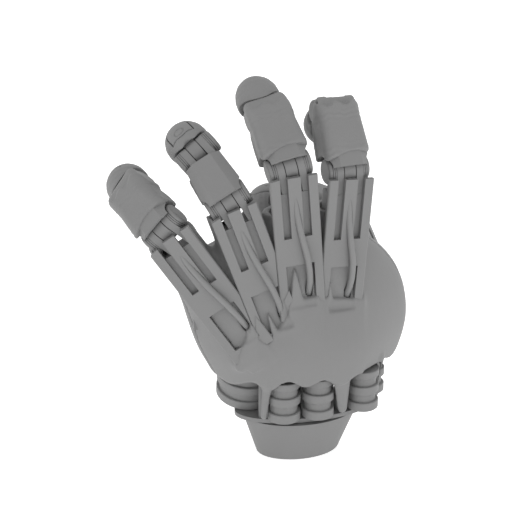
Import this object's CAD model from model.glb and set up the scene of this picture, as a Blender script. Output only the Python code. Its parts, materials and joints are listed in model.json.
"""Looks of a left tendon-driven prosthetic hand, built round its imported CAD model.

The skins, pads, nails and back shell are signed distance fields in millimetres, turned to quads by OpenVDB.
Thin discs in the hinges are instanced by Geometry Nodes.  The other pieces are the CAD nodes, each in its own
finish.  Every local frame comes from the joints, so a piece always follows its link."""

import functools
import json
import math

import bmesh
import bpy
import numpy as np
import openvdb
from mathutils import Matrix, Vector


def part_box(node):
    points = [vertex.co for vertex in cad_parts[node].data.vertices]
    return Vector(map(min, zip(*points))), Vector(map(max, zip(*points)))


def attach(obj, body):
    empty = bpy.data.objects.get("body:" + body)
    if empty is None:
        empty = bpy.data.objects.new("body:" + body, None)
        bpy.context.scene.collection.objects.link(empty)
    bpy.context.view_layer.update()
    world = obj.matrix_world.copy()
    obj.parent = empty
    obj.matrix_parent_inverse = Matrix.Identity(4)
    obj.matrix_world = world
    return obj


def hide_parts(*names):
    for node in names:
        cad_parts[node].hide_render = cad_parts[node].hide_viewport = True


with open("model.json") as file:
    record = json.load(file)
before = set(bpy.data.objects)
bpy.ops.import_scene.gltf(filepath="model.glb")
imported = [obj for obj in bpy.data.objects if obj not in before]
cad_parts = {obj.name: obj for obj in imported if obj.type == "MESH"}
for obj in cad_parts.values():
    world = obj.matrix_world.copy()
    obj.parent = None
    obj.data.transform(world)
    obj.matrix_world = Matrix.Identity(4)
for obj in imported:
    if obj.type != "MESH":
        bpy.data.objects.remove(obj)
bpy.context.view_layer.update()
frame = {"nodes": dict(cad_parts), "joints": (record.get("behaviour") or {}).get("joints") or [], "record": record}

MM = 0.001
FINGERS = ("little", "ring", "middle", "index")
ALL_FINGERS = (*FINGERS, "thumb")
JOINTS = {j["name"]: j for j in frame["joints"]}
# Sideways lean of each first hinge, in degrees.
SKEW = {"little": 16, "ring": 11, "middle": 7, "index": 5, "thumb": 0}
KNUCKLE_R, TIP_KNUCKLE_R = 5.8, 5.3
CLAY = 0.2  # the grey that every finish is mixed around


# ---------------------------------------------------------------- camera, light and floor
def look_from(azimuth, elevation, target, distance, lens):
    """A camera that looks at target from azimuth (0 looks along +Y) and elevation, in degrees and metres."""
    a, e = math.radians(azimuth), math.radians(elevation)
    back = Vector((math.sin(a) * math.cos(e), -math.cos(a) * math.cos(e), math.sin(e)))
    data = bpy.data.cameras.new("camera")
    data.lens = lens
    data.sensor_width = 36
    camera = bpy.data.objects.new("camera", data)
    bpy.context.scene.collection.objects.link(camera)
    camera.location = Vector(target) + back * distance
    camera.rotation_euler = back.to_track_quat("Z", "Y").to_euler()
    bpy.context.scene.camera = camera


def white_world(strength):
    world = bpy.data.worlds.new("studio")
    bpy.context.scene.world = world
    world.use_nodes = True
    background = world.node_tree.nodes["Background"]
    background.inputs["Color"].default_value = (1, 1, 1, 1)
    background.inputs["Strength"].default_value = strength


def pale_floor():
    mesh = bpy.data.meshes.new("floor")
    mesh.from_pydata([(-40, -40, 0), (40, -40, 0), (40, 40, 0), (-40, 40, 0)], [], [(0, 1, 2, 3)])
    floor = bpy.data.objects.new("floor", mesh)
    bpy.context.scene.collection.objects.link(floor)
    material = bpy.data.materials.new("floor_white")
    material.use_nodes = True
    shader = material.node_tree.nodes["Principled BSDF"]
    shader.inputs["Base Color"].default_value = (0.9, 0.9, 0.9, 1)
    shader.inputs["Roughness"].default_value = 0.9
    shader.inputs["Emission Color"].default_value = (1, 1, 1, 1)
    shader.inputs["Emission Strength"].default_value = 0.6
    mesh.materials.append(material)


# ---------------------------------------------------------------- materials
def add_socket(tree, name, kind, into, default=None):
    socket = tree.interface.new_socket(name=name, in_out="INPUT" if into else "OUTPUT", socket_type=kind)
    if default is not None:
        socket.default_value = default
    return socket


def grain_group():
    """Two greys mixed by broad mottling and fine grain, with a bump made of both and of pores."""
    tree = bpy.data.node_groups.new("surface_grain", "ShaderNodeTree")
    add_socket(tree, "Dark", "NodeSocketColor", True)
    add_socket(tree, "Light", "NodeSocketColor", True)
    add_socket(tree, "Mottle Scale", "NodeSocketFloat", True, 90.0)
    add_socket(tree, "Grain Scale", "NodeSocketFloat", True, 1500.0)
    add_socket(tree, "Pore Scale", "NodeSocketFloat", True, 1100.0)
    add_socket(tree, "Pore Depth", "NodeSocketFloat", True, 0.3)
    add_socket(tree, "Bump", "NodeSocketFloat", True, 0.3)
    add_socket(tree, "Colour", "NodeSocketColor", False)
    add_socket(tree, "Roughness", "NodeSocketFloat", False)
    add_socket(tree, "Normal", "NodeSocketVector", False)
    nodes, links = tree.nodes, tree.links
    given = nodes.new("NodeGroupInput")
    result = nodes.new("NodeGroupOutput")
    place = nodes.new("ShaderNodeTexCoord")

    def noise(scale, detail):
        node = nodes.new("ShaderNodeTexNoise")
        node.inputs["Detail"].default_value = detail
        links.new(place.outputs["Object"], node.inputs["Vector"])
        links.new(given.outputs[scale], node.inputs["Scale"])
        return node.outputs["Fac"]

    def math_node(kind, a, b):
        node = nodes.new("ShaderNodeMath")
        node.operation = kind
        for socket, value in zip(node.inputs, (a, b)):
            if isinstance(value, (int, float)):
                socket.default_value = value
            else:
                links.new(value, socket)
        return node.outputs[0]

    mottle = noise("Mottle Scale", 3.0)
    grain = noise("Grain Scale", 2.0)
    pores = nodes.new("ShaderNodeTexVoronoi")
    links.new(place.outputs["Object"], pores.inputs["Vector"])
    links.new(given.outputs["Pore Scale"], pores.inputs["Scale"])
    pore = math_node("MULTIPLY", pores.outputs["Distance"], given.outputs["Pore Depth"])
    blend = math_node("ADD", math_node("MULTIPLY", mottle, 0.65), math_node("MULTIPLY", grain, 0.35))
    mix = nodes.new("ShaderNodeMix")
    mix.data_type = "RGBA"
    links.new(blend, mix.inputs["Factor"])
    links.new(given.outputs["Dark"], mix.inputs[6])
    links.new(given.outputs["Light"], mix.inputs[7])
    links.new(mix.outputs[2], result.inputs["Colour"])
    rough = nodes.new("ShaderNodeMapRange")
    rough.inputs["To Min"].default_value = 0.5
    rough.inputs["To Max"].default_value = 0.72
    links.new(blend, rough.inputs["Value"])
    links.new(rough.outputs["Result"], result.inputs["Roughness"])
    bump = nodes.new("ShaderNodeBump")
    bump.inputs["Distance"].default_value = 0.0002
    links.new(given.outputs["Bump"], bump.inputs["Strength"])
    links.new(math_node("SUBTRACT", grain, pore), bump.inputs["Height"])
    links.new(bump.outputs["Normal"], result.inputs["Normal"])
    return tree


GRAIN = grain_group()


def finish(name, tone=1.0, contrast=0.06, mottle=90.0, grain=1500.0, pores=1100.0, pore_depth=0.3, bump=0.3,
           metallic=0.0):
    """A grey material: tone is its brightness against CLAY, contrast how far its two greys lie apart."""
    material = bpy.data.materials.new(name)
    material.use_nodes = True
    nodes, links = material.node_tree.nodes, material.node_tree.links
    shader = nodes["Principled BSDF"]
    shader.inputs["Metallic"].default_value = metallic
    shader.inputs["Specular IOR Level"].default_value = 0.35
    group = nodes.new("ShaderNodeGroup")
    group.node_tree = GRAIN
    for socket, sign in (("Dark", -1), ("Light", 1)):
        grey = CLAY * tone * (1 + sign * contrast)
        group.inputs[socket].default_value = (grey, grey, grey, 1)
    group.inputs["Mottle Scale"].default_value = mottle
    group.inputs["Grain Scale"].default_value = grain
    group.inputs["Pore Scale"].default_value = pores
    group.inputs["Pore Depth"].default_value = pore_depth
    group.inputs["Bump"].default_value = bump
    links.new(group.outputs["Colour"], shader.inputs["Base Color"])
    links.new(group.outputs["Roughness"], shader.inputs["Roughness"])
    links.new(group.outputs["Normal"], shader.inputs["Normal"])
    return material


def make_finishes():
    return {
        "skin_silicone": finish("skin_silicone", contrast=0.10, mottle=60, pores=900, pore_depth=0.8,
                                bump=0.45),
        "pad_silicone": finish("pad_silicone", contrast=0.08, mottle=110, pores=1300, pore_depth=0.8,
                               bump=0.4),
        "shell_nylon": finish("shell_nylon", contrast=0.07, mottle=45, grain=2200, pore_depth=0.2,
                              bump=0.35),
        "sleeve_nylon": finish("sleeve_nylon", contrast=0.06, mottle=80, grain=2200, pore_depth=0.2,
                               bump=0.35),
        "nail_nylon": finish("nail_nylon", tone=1.03, contrast=0.05, mottle=150, grain=2500, bump=0.15),
        "drum_nylon": finish("drum_nylon", contrast=0.05, mottle=70, grain=1800, pore_depth=0.1, bump=0.25),
        "anodised_metal": finish("anodised_metal", tone=1.04, contrast=0.05, grain=3000, bump=0.2,
                                 metallic=0.25),
        "steel": finish("steel", tone=1.06, contrast=0.08, grain=1200, bump=0.15, metallic=0.5),
        "motor_can": finish("motor_can", contrast=0.08, grain=900, bump=0.15, metallic=0.5),
        "liner": finish("liner_ptfe", tone=0.12, contrast=0.1, grain=2600, bump=0.1),
        "tendon_tube": finish("tendon_tube", tone=1.02, contrast=0.05, mottle=200, grain=2600, bump=0.2),
    }


def dress_cad_nodes(finishes):
    for part in frame["record"]["subparts"]:
        node = frame["nodes"][part["node"]]
        node.data.materials.clear()
        node.data.materials.append(finishes[part["material_slot"]])


def wear(piece, finishes, slot, body, *nodes):
    """Gives a piece its finish and its body, and hides the CAD nodes that it stands for."""
    piece.data.materials.append(finishes[slot])
    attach(piece, body)
    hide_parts(*nodes)


# ---------------------------------------------------------------- local frames, from the joints
def basis(origin, x, y, z):
    m = Matrix((x, y, z)).transposed().to_4x4()
    m.translation = origin
    return m


def knuckle_of(finger):
    return JOINTS[f"{finger}_knuckle"]


def tip_joint_of(finger):
    return JOINTS[f"{finger}_tip_joint"]


def link_frame(finger):
    """Origin at the knuckle, +Z to the tip joint, -Y out of the back of the link, +X across it."""
    first, second = Vector(knuckle_of(finger)["pos_m"]), Vector(tip_joint_of(finger)["pos_m"])
    x = -Vector(knuckle_of(finger)["axis"]).normalized()
    z = (second - first).normalized()
    return basis(first, x, z.cross(x), z)


def ray_frame(finger):
    """Origin at the knuckle, +Z along the ray towards the fingertip."""
    straight = math.radians(-knuckle_of(finger)["range_deg"][0])
    hinge = link_frame(finger) @ Matrix.Rotation(straight, 4, "X")
    return hinge @ Matrix.Rotation(math.radians(SKEW[finger]), 4, "Y")


def tip_hinge_frame(finger):
    """Origin at the tip joint, with the joint's own pin along X and the link's back along -Y."""
    joint = tip_joint_of(finger)
    x = -Vector(joint["axis"]).normalized()
    y = link_frame(finger).to_3x3() @ Vector((0, 1, 0))
    return basis(Vector(joint["pos_m"]), x, y, x.cross(y))


def tip_frame(finger):
    """Origin at the tip joint, +Z along the fingertip."""
    bend = math.radians(tip_joint_of(finger)["range_deg"][0])
    return tip_hinge_frame(finger) @ Matrix.Rotation(bend, 4, "X")


def link_length(finger):
    return (Vector(tip_joint_of(finger)["pos_m"]) - Vector(knuckle_of(finger)["pos_m"])).length / MM


# ---------------------------------------------------------------- signed distance fields, millimetres
class Grid:
    """Sample points of a box, and the way from a field on them to a mesh."""

    def __init__(self, low, high, step):
        self.low, self.step = np.array(low, np.float32), step
        axes = [np.arange(a, b + step, step, dtype=np.float32) for a, b in zip(low, high)]
        self.x, self.y, self.z = np.meshgrid(*axes, indexing="ij", sparse=False)

    def local(self, matrix):
        """The points in another frame, whose matrix is in metres: three arrays in millimetres."""
        inverse = np.array(matrix.inverted())
        shift = inverse[:3, 3] / MM
        rows = inverse[:3, :3]
        return [a * self.x + b * self.y + c * self.z + d for (a, b, c), d in zip(rows, shift)]

    def mesh(self, name, field, place=None):
        """The field's zero surface as a smooth mesh in metres, placed by a matrix in metres."""
        band = 3.0 * self.step
        grid = openvdb.FloatGrid(band)
        grid.copyFromArray(np.clip(field, -band, band).astype(np.float32))
        points, quads = grid.convertToQuads(0.0)
        data = bpy.data.meshes.new(name)
        data.from_pydata(((points * self.step + self.low) * MM).tolist(), [], quads[:, ::-1].tolist())
        if place is not None:
            data.transform(place)
        tidy = bmesh.new()
        tidy.from_mesh(data)
        drop_crumbs(tidy)
        if tidy.calc_volume(signed=True) < 0:
            bmesh.ops.reverse_faces(tidy, faces=tidy.faces)
        tidy.to_mesh(data)
        tidy.free()
        data.shade_smooth()
        piece = bpy.data.objects.new(name, data)
        bpy.context.scene.collection.objects.link(piece)
        return piece


def drop_crumbs(mesh, share=0.02):
    """Deletes loose islands much smaller than the largest one."""
    mesh.verts.ensure_lookup_table()
    seen, islands = set(), []
    for start in mesh.verts:
        if start.index in seen:
            continue
        seen.add(start.index)
        island, queue = [], [start]
        while queue:
            vert = queue.pop()
            island.append(vert)
            for edge in vert.link_edges:
                other = edge.other_vert(vert)
                if other.index not in seen:
                    seen.add(other.index)
                    queue.append(other)
        islands.append(island)
    largest = max(len(island) for island in islands)
    crumbs = [v for island in islands if len(island) < share * largest for v in island]
    bmesh.ops.delete(mesh, geom=crumbs, context="VERTS")


def smooth_min(a, b, k):
    h = np.clip(0.5 + 0.5 * (b - a) / k, 0, 1)
    return b + (a - b) * h - k * h * (1 - h)


def smooth_max(a, b, k):
    return -smooth_min(-a, -b, k)


def union(fields):
    return functools.reduce(np.minimum, fields)


def join(*fields, k=1.0):
    total = fields[0]
    for field in fields[1:]:
        total = smooth_min(total, field, k)
    return total


def cut(field, *tools, k=0.4):
    for tool in tools:
        field = smooth_max(field, -tool, k)
    return field


def ellipsoid(p, centre, radii):
    q = [(c - o) / r for c, o, r in zip(p, centre, radii)]
    near = np.sqrt(q[0] ** 2 + q[1] ** 2 + q[2] ** 2) + 1e-6
    far = np.sqrt(sum((c / r) ** 2 for c, r in zip(q, radii))) + 1e-6
    return near * (near - 1) / far


def capsule(p, a, b, ra, rb=None, flat=(1, 1, 1)):
    """A rounded cone from a to b.  flat divides the distance along each axis, so under 1 it flattens."""
    rb = ra if rb is None else rb
    p = [c / f for c, f in zip(p, flat)]
    a = [c / f for c, f in zip(a, flat)]
    b = [c / f for c, f in zip(b, flat)]
    run = [n - m for m, n in zip(a, b)]
    length = sum(c * c for c in run)
    t = np.clip(sum((c - m) * r for c, m, r in zip(p, a, run)) / length, 0, 1)
    away = np.sqrt(sum((c - m - t * r) ** 2 for c, m, r in zip(p, a, run)))
    return (away - (ra + t * (rb - ra))) * min(flat)


def box(p, low, high, round_r=0.0):
    q = [np.abs(c - (a + b) / 2) - (b - a) / 2 + round_r for c, a, b in zip(p, low, high)]
    outside = np.sqrt(sum(np.maximum(c, 0) ** 2 for c in q))
    inside = np.minimum(np.maximum(np.maximum(q[0], q[1]), q[2]), 0)
    return outside + inside - round_r


def drum(p, r, x0, x1, round_r=0.0):
    """A cylinder along the local X axis."""
    across = np.sqrt(p[1] ** 2 + p[2] ** 2) - r + round_r
    along = np.abs(p[0] - (x0 + x1) / 2) - (x1 - x0) / 2 + round_r
    outside = np.sqrt(np.maximum(across, 0) ** 2 + np.maximum(along, 0) ** 2)
    return outside + np.minimum(np.maximum(across, along), 0) - round_r


def post(p, x, y, r, z0, z1):
    across = np.hypot(p[0] - x, p[1] - y) - r
    along = np.abs(p[2] - (z0 + z1) / 2) - (z1 - z0) / 2
    return np.maximum(across, along)


# Lean, in degrees, of the planes that skin is cut back to on the palm side of a knuckle and of a tip joint.
KNUCKLE_FOLD, TIP_FOLD = 47, 55


def fold_plane(y, z, degrees):
    """Distance beyond a plane through the hinge that leans so many degrees out of the palm side's Y axis."""
    slope = math.radians(degrees)
    return z * math.cos(slope) - y * math.sin(slope)


def ripple(p, pitch, depth, warp=0.6):
    """Cross wrinkles that repeat along Z and wander with X."""
    phase = p[2] + warp * np.sin(p[0] * 0.45 + 0.8) + 0.3 * np.sin(p[0] * 1.3)
    return depth * np.sin(phase * 2 * math.pi / pitch)


# ---------------------------------------------------------------- palm
# The palm's outline at rising heights: left x and y, back y, right x and y, then the palm side's y at the
# little finger's side, in the middle and at the thumb's side.
PALM_HEIGHTS = (24, 42, 58, 74, 89, 101, 114)
PALM_LEFT = ((-34.5, -40, -47.5, -52.5, -56, -56.5, -51), (0, 0, -1, -2, -4, -5, -6))
PALM_BACK = (-17, -22, -24.5, -23.5, -20, -15, -12)
PALM_RIGHT = ((41, 50.5, 55.5, 54, 47, 39, 30), (6, 10, 13, 15, 16, 12, 4))
PALM_FRONT = ((17, 20, 20, 17, 13, 9, 7), (15, 16, 15, 12, 10, 8, 6), (20, 27, 31, 31, 29, 19, 8))
# The line across the hand that the skin ends at, as x and z.
WEB_LINE = ((-64, 92), (-52, 99), (-41, 103), (-28, 109), (-17, 110), (-5, 108), (9, 106), (24, 106),
            (36, 98), (56, 84))
# Each ray's cover of skin: where it starts on the ray's middle line, and its rise per millimetre across.
COVERS = {"little": (-59, 0.8), "ring": (-60, 0.8), "middle": (-57.5, 0.0), "index": (-56, -0.1)}
# A tongue of skin in each window: its middle, half width, foot and height, along the ray.
TONGUES = {"little": (3.0, 2.0, -65, 9), "ring": (-2.2, 1.6, -67, 15), "middle": (-2.6, 2.4, -61, 17.5),
           "index": (-7.2, 3.4, -63, 18)}
# The tendon tube's route in its ray's frame, and the radii cleared round it in the skin and in the tongue.
TUBE_ROUTE = ((0, -6.5, -9), (0.2, -7.6, -19), (1.4, -9.0, -29), (3.2, -9.9, -39), (4.0, -8.3, -49),
              (3.6, -4.4, -58))
TUBE_CLEAR, TUBE_SLOT = 1.75, 1.7
WALL = 2.4
# The seam between back shell and glove: how it leans across the hand, where it passes, and half its gap.
SEAM_LEAN, SEAM_Y, SEAM_GAP = 9, 2.0, 0.12
# The glove's wrist edge: its mean height, the height of its scallops, and the pitch and middle of the drums.
SKIRT_HEIGHT, SKIRT_WAVE, DRUM_PITCH, DRUM_MIDDLE = 42.2, 1.6, 15.8, -10.2
DRUM_ROOM = (-4, 21.5)  # foot and top of the space of a drum, from the foot of its axle
DRUM_NAMES = ("ring_little_drum", "middle_drum", "index_drum", "thumb_drum", "thumb_swivel_drum")


def eased(z, heights, values):
    """A smooth curve through values at heights."""
    slopes = np.gradient(np.array(values, float), np.array(heights, float))
    i = np.clip(np.searchsorted(heights, z) - 1, 0, len(heights) - 2)
    h = np.take(heights, i + 1) - np.take(heights, i)
    t = np.clip((z - np.take(heights, i)) / h, 0, 1)
    a, b = np.take(values, i), np.take(values, i + 1)
    ma, mb = np.take(slopes, i) * h, np.take(slopes, i + 1) * h
    ends = a * (2 * t**3 - 3 * t**2 + 1) + b * (3 * t**2 - 2 * t**3)
    return ends + ma * (t**3 - 2 * t**2 + t) + mb * (t**3 - t**2)


def palm_outline(z, samples=6):
    """The palm's closed outline at each height of z: x and y arrays, one row for each point."""
    left_x, left_y = (eased(z, PALM_HEIGHTS, v) for v in PALM_LEFT)
    right_x, right_y = (eased(z, PALM_HEIGHTS, v) for v in PALM_RIGHT)
    back = eased(z, PALM_HEIGHTS, PALM_BACK)
    heel, hollow, ball = (eased(z, PALM_HEIGHTS, v) for v in PALM_FRONT)
    w = right_x - left_x
    xs = [left_x, left_x + 0.14 * w, left_x + 0.40 * w, left_x + 0.66 * w, left_x + 0.90 * w, right_x,
          left_x + 0.86 * w, left_x + 0.52 * w, left_x + 0.16 * w]
    ys = [left_y, back * 0.74, back, back * 0.94, back * 0.30 + right_y * 0.25, right_y, ball, hollow,
          heel * 0.9]
    rows_x, rows_y = [], []
    count = len(xs)
    for i in range(count):
        for t in np.arange(samples) / samples:
            for source, rows in ((xs, rows_x), (ys, rows_y)):
                a, b, c, d = (source[(i + j) % count] for j in (-1, 0, 1, 2))
                bend = 2 * a - 5 * b + 4 * c - d + t * (3 * (b - c) + d - a)
                rows.append(b + 0.5 * t * (c - a + t * bend))
    return rows_x, rows_y


def palm_body(grid):
    """Signed distance to the palm's outline, found on every second sample and then filled in."""
    x, y, z = grid.x[::2, ::2, ::2], grid.y[::2, ::2, ::2], grid.z[::2, ::2, ::2]
    heights = z[0, 0]
    px, py = palm_outline(heights)
    nearest = np.full(x.shape, 1e9, np.float32)
    inside = np.zeros(x.shape, bool)
    for i in range(len(px)):
        ax, ay, bx, by = px[i - 1], py[i - 1], px[i], py[i]
        dx, dy = bx - ax, by - ay
        t = np.clip(((x - ax) * dx + (y - ay) * dy) / (dx * dx + dy * dy), 0, 1)
        nearest = np.minimum(nearest, (x - ax - t * dx) ** 2 + (y - ay - t * dy) ** 2)
        crosses = ((ay > y) != (by > y)) & (x < ax + (y - ay) * dx / np.where(dy == 0, 1e-6, dy))
        inside ^= crosses
    coarse = np.sqrt(nearest) * np.where(inside, -1, 1)
    return finer(coarse, grid.x.shape)


def finer(field, shape):
    """Linear interpolation of a field to twice the resolution."""
    for axis, size in enumerate(shape):
        count = field.shape[axis]
        before, after = np.take(field, range(count - 1), axis), np.take(field, range(1, count), axis)
        full = np.repeat(field, 2, axis)
        odd = [slice(None)] * 3
        odd[axis] = slice(1, 2 * count - 1, 2)
        full[tuple(odd)] = (before + after) / 2
        field = np.take(full, range(size), axis)
    return field


def cover_edge(q, finger):
    start, rise = COVERS[finger]
    return (q[2] - start - rise * q[0]) / math.hypot(1, rise)


def tube_room(q, radius):
    return join(*[capsule(q, a, b, radius) for a, b in zip(TUBE_ROUTE, TUBE_ROUTE[1:])], k=0.8)


def ray_room(q, finger):
    """What a ray needs clear of skin: its plate as far as the cover, its spine and its window."""
    plate = smooth_max(box(q, (-10.6, -22, -72), (10.6, -5.8, 30)), -cover_edge(q, finger), 1.2)
    spine = box(q, (-7.7, -6.6, -70), (7.7, 4.9, 4))
    window = box(q, (-6.3, -14, -61.5), (6.3, 0.9, -41.5), 0.6)
    return join(plate, spine, window, k=0.3)


def window_floor(q, finger):
    """The skin that lines the bottom of a ray's window, and fills the window under the cover."""
    lining = box(q, (-6.2, -6.3, -61.4), (6.2, 0.8, -41.6), 0.5)
    filling = smooth_max(box(q, (-6.25, -8.7, -61.6), (6.25, 0.8, -41.6)), cover_edge(q, finger) + 0.5, 2.0)
    return smooth_min(lining, filling, 1.0)


def tongue(q, finger):
    """The pointed flap of skin that lies in a ray's window."""
    middle, half, foot, height = TONGUES[finger]
    bell = (q[2] - foot - height * np.exp(-(((q[0] - middle) / half) ** 2))) * 0.4
    return smooth_max(bell, box(q, (-6.4, -8.7, -75), (6.4, -2, -40)), 1.6)


def hinge_room(finger, grid, clear=0.9):
    return drum(grid.local(link_frame(finger)), KNUCKLE_R + clear, -9.7, 11.5)


def hinge_lip(turned, q):
    """A lip of skin close under a knuckle's arms, on both sides of the tongue."""
    lip = smooth_max(drum(turned, KNUCKLE_R + 0.5, -9.2, 9.2), 4.75 - q[1], 0.3)
    lip = smooth_max(lip, q[2] - 1.0, 0.3)
    lip = smooth_min(lip, box(q, (-9.2, 4.75, -9.5), (9.2, 6.4, -4.9), 0.4), 1.5)
    return smooth_max(lip, 3.1 - np.abs(turned[0]), 0.3)


def fold_room(q, half_width=14, depth=17):
    """The space that a finger's link folds down into, on the palm side of its knuckle."""
    wedge = -(q[2] + q[1] * math.tan(math.radians(KNUCKLE_FOLD)))
    return np.maximum(np.maximum(wedge, -(q[2] + depth)), np.abs(q[0]) - half_width)


def finger_root(q, turned, finger):
    """The skin round a ray, and beside its knuckle a cheek, which the ring finger has none of."""
    root = capsule(q, (-0.6, 3.4, -60), (-0.6, 3.6, -4), 10.6, 10.4, flat=(1, 1.03, 1))
    if finger == "ring":
        return root
    cheek = drum(turned, KNUCKLE_R + 0.5, -11.3, -9.7, 0.8)
    return smooth_min(root, smooth_max(cheek, -4.6 - q[1], 1.0), 3.0)


def palm_fields(grid):
    """The outer form before it is cut, the space that rays and knuckles need, and the windows' flaps."""
    line = np.interp(grid.x, *zip(*WEB_LINE))
    outer = smooth_max(palm_body(grid), (grid.z - line) * 0.9, 6.0)
    rooms, flaps = [], []
    for finger in FINGERS:
        q = grid.local(ray_frame(finger))
        turned = grid.local(link_frame(finger))
        outer = smooth_min(outer, finger_root(q, turned, finger), 5.0)
        edge = cover_edge(q, finger)
        cover = smooth_max(box(q, (-11.4, -9.6, -72), (11.4, 0, -30), 2.5), edge, 2.0)
        outer = smooth_min(outer, cover, 3.0)
        ramp = 8.6 + 0.38 * np.clip(-edge, 0, 40) + 0.7 * np.clip(np.abs(q[0]) - 9.5, 0, 30)
        outer = smooth_max(outer, np.where(q[2] > -80, -q[1] - ramp, -1e3) * 0.9, 2.5)
        rooms.append(join(ray_room(q, finger), hinge_room(finger, grid), k=0.3))
        rooms.append(fold_room(q))
        rooms.append(tube_room(q, TUBE_CLEAR))
        flaps.append(smooth_min(tongue(q, finger), window_floor(q, finger), 0.8))
        flaps.append(hinge_lip(turned, q))
    return outer, union(rooms), union(flaps)


def drum_rooms(grid, clear=0.9):
    """The space of the five winding drums, upright posts round each drum's box."""
    rooms = []
    for joint in [JOINTS[f"{name}_spin"] for name in DRUM_NAMES]:
        low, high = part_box(joint["child"])
        place = basis(Vector(joint["pos_m"]), *upright_axes(Vector(joint["axis"])))
        radius = (high.x - low.x) / 2 / MM
        rooms.append(post(grid.local(place), 0, 0, radius + clear, *DRUM_ROOM))
    return union(rooms)


def upright_axes(z):
    x = Vector((1, 0, 0))
    y = z.cross(x).normalized()
    return y.cross(z), y, z


# What the glove is hollowed for: bends of the thumb's knuckle, turns about its ray towards the little
# finger, and the length and radius of the link that swings.
THUMB_SWEEP = ((72, 0), (72, 14), (48, -35), (48, -20))
THUMB_REACH, THUMB_ROOM_R = 24, 10.9


def thumb_room(grid, clear=0.5):
    """The space of the thumb's ray and turntable, and of its link as it swings."""
    low, high = -50.5, -12.0
    q = grid.local(ray_frame("thumb"))
    ray = box(q, (-10.3 - clear, -8.2 - clear, low), (10.3 + clear, 4.5 + clear, high))
    rooms = [ray, post(q, 0, 0, 12.6, high, 40)]
    for bend, turn in THUMB_SWEEP:
        b, t = math.radians(bend), math.radians(turn)
        end = [THUMB_REACH * c for c in (math.sin(b) * math.sin(t), math.sin(b) * math.cos(t), math.cos(b))]
        rooms.append(capsule(q, (0, 0, 0), end, THUMB_ROOM_R))
    return union(rooms)


def skirt(grid):
    """The wrist edge of the skin: scalloped over the drums on the back, level on the palm side."""
    wave = SKIRT_WAVE * np.cos((grid.x - DRUM_MIDDLE) * 2 * math.pi / DRUM_PITCH)
    return SKIRT_HEIGHT + wave * (grid.y < 5) - grid.z


def straps(grid):
    """Bands of skin that reach down between the drums, each wide at the top."""
    p = (grid.x, grid.y, grid.z)
    bands = [
        capsule(p, (-18.2, -17.2, 46), (-19.4, -14.0, 25.5), 3.0, 2.0, flat=(1, 0.6, 1)),
        capsule(p, (13.6, -19.5, 46), (16.8, -15.2, 25.0), 5.5, 2.2, flat=(1, 0.32, 1)),
        capsule(p, (36.0, -9.6, 46), (35.6, -6.6, 27), 1.5, 1.0),
        capsule(p, (6.0, 15.0, 46), (6.0, 13.5, 25.0), 4.6, 3.4, flat=(1, 0.4, 1)),
    ]
    return join(*bands, k=1.5)


def tubes(grid, radius):
    return union(tube_room(grid.local(ray_frame(finger)), radius) for finger in FINGERS)


def palm_pieces(finishes, step=0.7):
    """The hard back shell and the soft glove, cut from one form along a seam."""
    grid = Grid((-68, -33, 21), (66, 42, 120), step)
    outer, rooms, flaps = palm_fields(grid)
    wall = smooth_max(outer, -(outer + WALL), 0.6)
    wall = smooth_max(wall, skirt(grid), 1.8)
    wall = smooth_min(wall, straps(grid), 3.0)
    wall = cut(wall, union((rooms, drum_rooms(grid), thumb_room(grid))), k=0.8)
    wall = smooth_min(wall, smooth_max(flaps, -tubes(grid, TUBE_SLOT), 0.5), 1.6)
    lean = math.radians(SEAM_LEAN)
    seam = (grid.y * math.cos(lean) - grid.x * math.sin(lean)) - SEAM_Y
    shell = grid.mesh("back_shell", smooth_max(wall, seam + SEAM_GAP, 0.25))
    wear(shell, finishes, "shell_nylon", "palm", "dorsal_shell")
    glove = grid.mesh("palm_glove", smooth_max(wall, SEAM_GAP - seam, 0.25))
    wear(glove, finishes, "skin_silicone", "palm", "palm_skin", "finger_roots")


# ---------------------------------------------------------------- fingers
# How much skin each link wears over its sleeve: none on the ring finger, whose armour is bare.
SLEEVED = {"little": 0.8, "ring": 0.0, "middle": 0.9, "index": 0.8, "thumb": 0.8}
# The skin over a sleeved finger's tip joint is round about the joint, and the fingertip turns on it.
DOMES = {"little": 8.4, "middle": 8.7, "index": 7.0, "thumb": 8.4}
CORNER_R = 4.2  # of the skin drawn over a sleeve
TIP_CENTRE = 11.2
NAIL_HALF, NAIL_FAR = 5.6, 12.0
BARE_NAILS = ("ring", "index", "thumb")  # the others lie under the skin


def link_pad(p, length):
    """The cushion on the palm side of a middle link."""
    pad = capsule(p, (-0.7, 1.5, 5.5), (-0.7, 1.5, length - 5.5), 9.7, 9.1, flat=(1, 1.0, 1))
    pad = join(pad, ellipsoid(p, (0, 4.0, length / 2), (8.6, 8.0, length * 0.46)), k=2.0)
    pad += 0.10 * np.sin(p[2] * 1.9 + np.sin(p[0] * 0.5)) * np.clip((p[1] - 1) / 6, 0, 1)
    return smooth_max(pad, 2.6 - p[1], 0.8)


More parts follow.
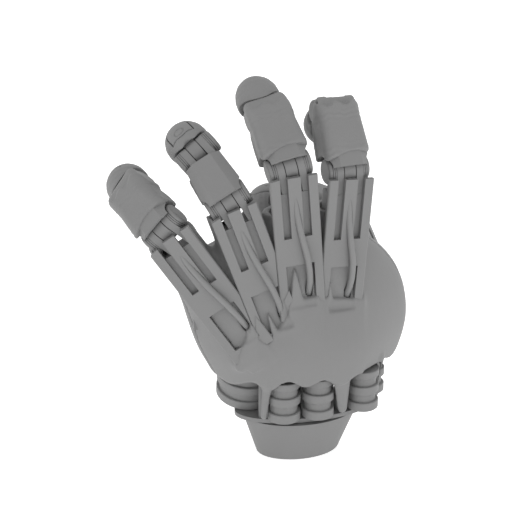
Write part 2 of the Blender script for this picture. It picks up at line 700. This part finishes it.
def drawn_skin(p, length, thickness):
    """The skin drawn over a link's sleeve, wrinkled towards both of its joints."""
    half = 9.9 - 1.6 * np.clip(p[2] / length, 0, 1) + thickness
    beside = np.maximum(np.abs(p[0]) - half + CORNER_R, 0)
    above = np.maximum(-p[1] - 9.2 + CORNER_R, 0)
    wrap = np.maximum(np.hypot(beside, above) - CORNER_R, p[1] - 4)
    folds = ripple(p, 2.6, 0.10) * np.clip(1 - np.abs(p[2] - 6) / 5, 0, 1)
    folds += ripple(p, 2.2, 0.14) * np.clip(1 - np.abs(p[2] - length + 4) / 4, 0, 1)
    wrap = wrap + folds
    near = 3.4 + 0.12 * p[0] + 0.5 * np.cos(p[0] * 0.4) - 0.2 * p[1]
    far = length - 3.2 + 0.9 * np.cos(p[0] * 0.8 + 1)
    wrap = smooth_max(wrap, near - p[2], 1.0)
    wrap = smooth_max(wrap, p[2] - far - 4, 1.0)
    return smooth_max(wrap, p[1] - 2 + 0.5 * (p[2] - length + 6), 2.0)


def tip_dome(q, radius):
    """The folded skin round a tip joint, in the joint's own frame."""
    turn = np.arctan2(q[2], -q[1])
    folds = 0.16 * np.sin(turn * 7.0 + 0.5 * np.sin(q[0] * 0.5)) * np.clip((9.5 - np.abs(q[0])) / 4, 0, 1)
    return drum(q, radius - 0.1, -9.5, 9.5, 2.6) + folds * np.clip(-q[1] / 5, 0, 1)


def link_skin(finger, finishes, step=0.35):
    """The soft pad on the palm side of a middle link, and on most fingers the skin drawn over its sleeve."""
    length = link_length(finger)
    place = link_frame(finger)
    grid = Grid((-12.5, -12.0, -3), (12.5, 14.0, length + 11), step)
    p = (grid.x, grid.y, grid.z)
    q = grid.local(place.inverted() @ tip_hinge_frame(finger))
    pad = link_pad(p, length)
    if SLEEVED[finger]:
        pad = smooth_min(pad, drawn_skin(p, length, SLEEVED[finger]), 1.6)
        pad = smooth_min(pad, tip_dome(q, DOMES[finger]), 1.8)
        slot = box(q, (-4.2, -5.2, -4.0), (4.2, 14, 14))
        far_room = np.minimum(drum(q, TIP_KNUCKLE_R + 0.8, -9.0, 9.0), slot)
    else:
        far_room = drum(q, TIP_KNUCKLE_R + 0.8, -14, 14)
    near_room = drum(p, KNUCKLE_R + 0.8, -14, 14)
    pad = cut(pad, near_room, far_room, k=0.4)
    pad = smooth_max(pad, -fold_plane(p[1], p[2], KNUCKLE_FOLD), 1.5)
    pad = smooth_max(pad, -fold_plane(q[1], -q[2], TIP_FOLD), 1.5)
    piece = grid.mesh(f"{finger}_link_skin", pad, place)
    wear(piece, finishes, "pad_silicone", f"{finger}_link", f"{finger}_link_pad")


def nail_shape(p, grow=0.0):
    """A prism over the nail: square near edge, round far edge, on the back of the fingertip."""
    round_end = np.hypot(p[0], p[2] - NAIL_FAR) - NAIL_HALF - grow
    body = np.maximum(np.abs(p[0]) - NAIL_HALF - grow, np.abs(p[2] - 9.6) - 2.6 - grow)
    outline = np.minimum(round_end, body)
    return np.maximum(outline, p[1] + 3.6)


def tip_bulb(p):
    bulb = ellipsoid(p, (0, 0.2, TIP_CENTRE), (9.3, 8.6, 10.3))
    bulb = join(bulb, ellipsoid(p, (0, 3.0, TIP_CENTRE - 1.2), (8.2, 6.8, 8.2)), k=2.5)
    return join(bulb, capsule(p, (0, 0.6, 6.4), (0, 0.3, 10), 9.0, 9.0, flat=(1, 0.92, 1)), k=2.0)


def nail_crescent(p, bulb):
    """The groove that marks the far edge of a nail under the skin."""
    arc = np.maximum(np.abs(np.hypot(p[0], p[2] - 9.5) - 6.2) - 0.25, 12.2 - p[2])
    return np.maximum(arc, np.abs(bulb) - 0.6)


def nail_plate(p, bulb, bare):
    """The nail let into the bulb, with an oval groove in its face."""
    nail = smooth_max(bulb - (0.05 if bare else -0.7), -(bulb + 1.9), 0.3)
    nail = smooth_max(nail, nail_shape(p), 0.5)
    oval = np.abs(np.hypot(p[0] / 2.3, (p[2] - 9.0) / 1.5) - 1) * 1.7 - 0.16
    return cut(nail, np.maximum(oval, -(bulb + 0.45)), k=0.25)


def fingertip(finger, finishes, step=0.33):
    """The soft bulb of a fingertip and the nail plate let into its back."""
    place = tip_frame(finger)
    grid = Grid((-11.5, -11, -2), (11.5, 11.5, 23.5), step)
    p = (grid.x, grid.y, grid.z)
    bulb = tip_bulb(p)
    skin = bulb + 0.05 * np.sin(p[2] * 2.1 + 0.4 * p[0])
    if finger == "little":
        skin = cut(skin, nail_crescent(p, bulb), k=0.4)
    bare_nail = finger in BARE_NAILS
    if bare_nail:
        skin = cut(skin, np.maximum(nail_shape(p, 0.3), -(bulb + 1.25)), k=0.3)
    room_r = DOMES[finger] + 0.15 if finger in DOMES else TIP_KNUCKLE_R + 0.8
    near_room = drum(p, room_r, -14, 14)
    skin = cut(skin, near_room, k=0.25)
    lobes = 2.4 + 0.9 * np.cos(p[0] * 0.75)
    skin = smooth_max(skin, lobes - p[2], 1.0)
    skin = smooth_max(skin, -fold_plane(p[1], p[2], TIP_FOLD), 1.5)
    piece = grid.mesh(f"{finger}_tip_skin", skin, place)
    wear(piece, finishes, "pad_silicone", f"{finger}_tip", f"{finger}_tip_pad")
    plate = grid.mesh(f"{finger}_nail", cut(nail_plate(p, bulb, bare_nail), near_room, k=0.25), place)
    wear(plate, finishes, "nail_nylon", f"{finger}_tip", f"{finger}_nail_plate")


# ---------------------------------------------------------------- thin discs between the leaves of each hinge
LINER_RADIUS_SHARE, LINER_SIDES = 0.94, 40
# Where the discs lie along a hinge's pin, and how thick they are.
LINERS = ((-7.7, 0.17), (-6.9, 0.17), (-6.07, 0.11), (-2.7, 0.36), (2.7, 0.36), (6.07, 0.11), (6.9, 0.17),
          (7.7, 0.17))


def disc_tree():
    """Instances a flat disc on every point, its axis and size from the points' attributes."""
    tree = bpy.data.node_groups.new("liner_discs", "GeometryNodeTree")
    add_socket(tree, "Geometry", "NodeSocketGeometry", True)
    add_socket(tree, "Sides", "NodeSocketInt", True, LINER_SIDES)
    add_socket(tree, "Material", "NodeSocketMaterial", True)
    add_socket(tree, "Geometry", "NodeSocketGeometry", False)
    nodes, links = tree.nodes, tree.links
    given, result = nodes.new("NodeGroupInput"), nodes.new("NodeGroupOutput")
    disc = nodes.new("GeometryNodeMeshCylinder")
    disc.inputs["Radius"].default_value = 1.0
    disc.inputs["Depth"].default_value = 1.0
    links.new(given.outputs["Sides"], disc.inputs["Vertices"])

    def attribute(name, kind="FLOAT_VECTOR"):
        node = nodes.new("GeometryNodeInputNamedAttribute")
        node.data_type = kind
        node.inputs["Name"].default_value = name
        return node.outputs["Attribute"]

    turn = nodes.new("FunctionNodeAlignRotationToVector")
    turn.axis = "Z"
    links.new(attribute("axis"), turn.inputs["Vector"])
    stand = nodes.new("GeometryNodeInstanceOnPoints")
    links.new(given.outputs["Geometry"], stand.inputs["Points"])
    links.new(disc.outputs["Mesh"], stand.inputs["Instance"])
    links.new(turn.outputs["Rotation"], stand.inputs["Rotation"])
    links.new(attribute("size"), stand.inputs["Scale"])
    real = nodes.new("GeometryNodeRealizeInstances")
    paint = nodes.new("GeometryNodeSetMaterial")
    links.new(stand.outputs["Instances"], real.inputs["Geometry"])
    links.new(real.outputs["Geometry"], paint.inputs["Geometry"])
    links.new(given.outputs["Material"], paint.inputs["Material"])
    links.new(paint.outputs["Geometry"], result.inputs["Geometry"])
    return tree


def hinge_liners(name, body, hinges, tree, material):
    """The discs of some hinges of one body.  Each hinge is a frame with its pin along X, and a radius."""
    centres, axes, sizes = [], [], []
    for place, radius in hinges:
        for x, thick in LINERS:
            centres.append(place @ Vector((x * MM, 0, 0)))
            axes.append(place.to_3x3() @ Vector((1, 0, 0)))
            sizes.append(Vector((radius * MM, radius * MM, thick * MM)))
    points = bpy.data.meshes.new(name + "_points")
    points.from_pydata(centres, [], [])
    for label, rows in (("axis", axes), ("size", sizes)):
        layer = points.attributes.new(label, "FLOAT_VECTOR", "POINT")
        layer.data.foreach_set("vector", [c for row in rows for c in row])
    carrier = bpy.data.objects.new(name + "_points", points)
    bpy.context.scene.collection.objects.link(carrier)
    modifier = carrier.modifiers.new("discs", "NODES")
    modifier.node_group = tree
    sockets = {item.name: item.identifier for item in tree.interface.items_tree if item.in_out == "INPUT"}
    modifier[sockets["Sides"]] = LINER_SIDES
    modifier[sockets["Material"]] = material
    evaluated = carrier.evaluated_get(bpy.context.evaluated_depsgraph_get())
    piece = bpy.data.objects.new(name, bpy.data.meshes.new_from_object(evaluated))
    bpy.context.scene.collection.objects.link(piece)
    bpy.data.objects.remove(carrier)
    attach(piece, body)


def all_liners(finishes):
    tree, material = disc_tree(), finishes["liner"]
    near, far = KNUCKLE_R * LINER_RADIUS_SHARE, TIP_KNUCKLE_R * LINER_RADIUS_SHARE
    hinge_liners("knuckle_liners", "palm", [(link_frame(f), near) for f in FINGERS], tree, material)
    hinge_liners("thumb_knuckle_liners", "thumb_swivel", [(link_frame("thumb"), near)], tree, material)
    for finger in ALL_FINGERS:
        hinges = [(tip_hinge_frame(finger), far)]
        hinge_liners(f"{finger}_tip_liners", f"{finger}_link", hinges, tree, material)


def main():
    look_from(azimuth=-14, elevation=20, target=(-0.020, 0, 0.097), distance=0.532, lens=85)
    white_world(1.0)
    pale_floor()
    finishes = make_finishes()
    dress_cad_nodes(finishes)
    palm_pieces(finishes)
    for finger in ALL_FINGERS:
        link_skin(finger, finishes)
        fingertip(finger, finishes)
    all_liners(finishes)
    bpy.context.scene.view_settings.view_transform = "Standard"


main()
